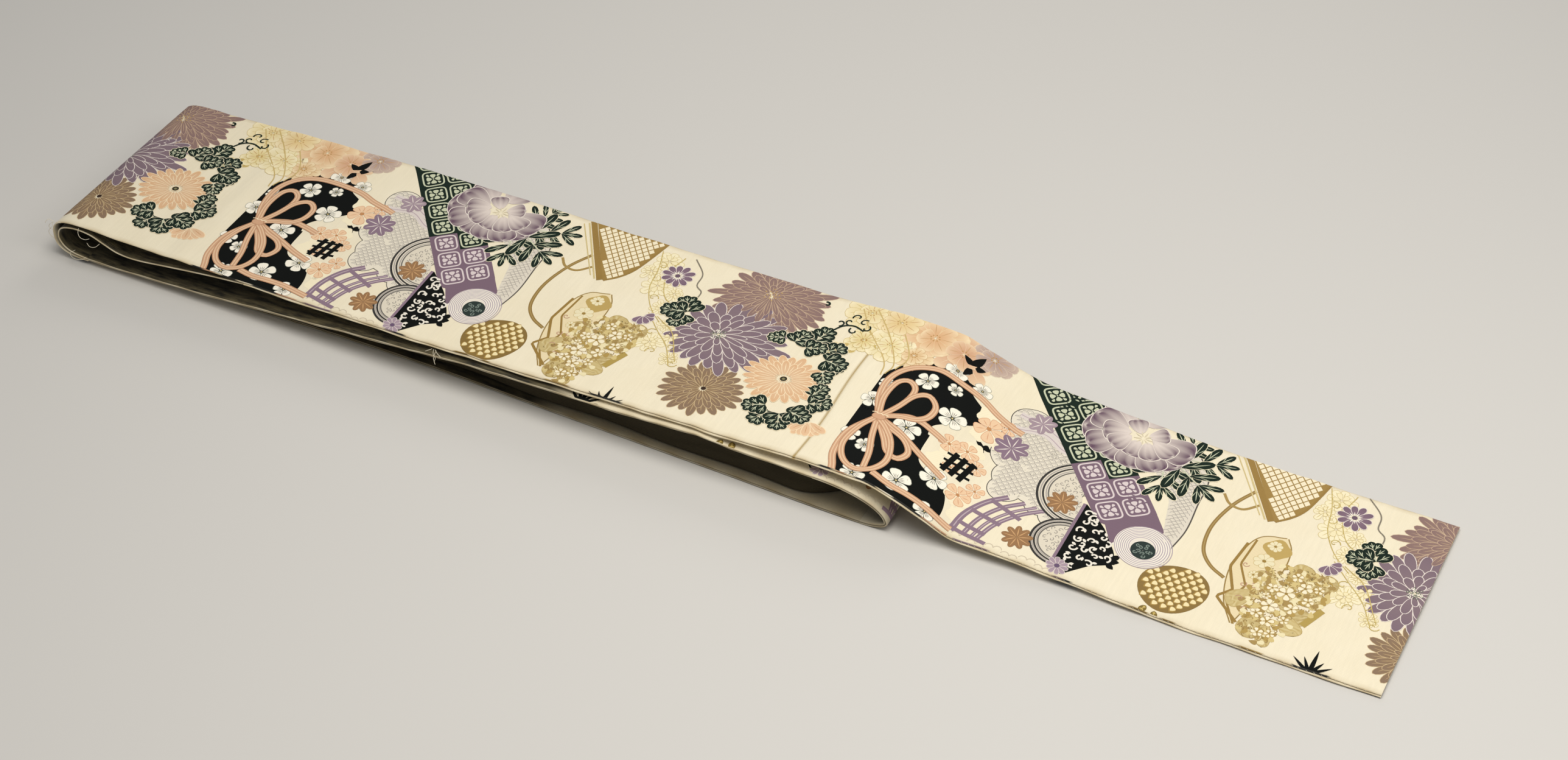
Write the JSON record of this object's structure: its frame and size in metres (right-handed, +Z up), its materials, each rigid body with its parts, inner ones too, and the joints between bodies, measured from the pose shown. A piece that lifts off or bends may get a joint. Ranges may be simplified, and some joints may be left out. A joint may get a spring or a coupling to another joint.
{
  "type": "folded obi sash",
  "caption": "Wide formal sash for kimono dress in cream figured brocade, folded in three runs on a surface, with its free end running on past the stack.",
  "frame": {"origin": "on the floor, under the middle of the whole lying sash", "axes": "+X along the sash from its left fold to the free end, +Y across it from the near to the far long edge, +Z up"},
  "size_m": [1.882, 0.3386, 0.07],
  "materials": {
    "figured_brocade": "cream silk brocade figured in mauve, peach, gold, dark green and black",
    "hidden_brocade": "the same brocade in the shade between the layers"
  },
  "bodies": {
    "root": {"front_panel_top_run": "figured_brocade", "back_panel_top_run": "figured_brocade", "front_panel_left_fold": "figured_brocade", "back_panel_left_fold": "figured_brocade", "back_panel_middle_run": "figured_brocade", "back_panel_right_fold": "figured_brocade", "front_panel_right_fold": "figured_brocade", "back_panel_bottom_run": "figured_brocade", "hidden_layers": "hidden_brocade"}
  },
  "joints": []
}
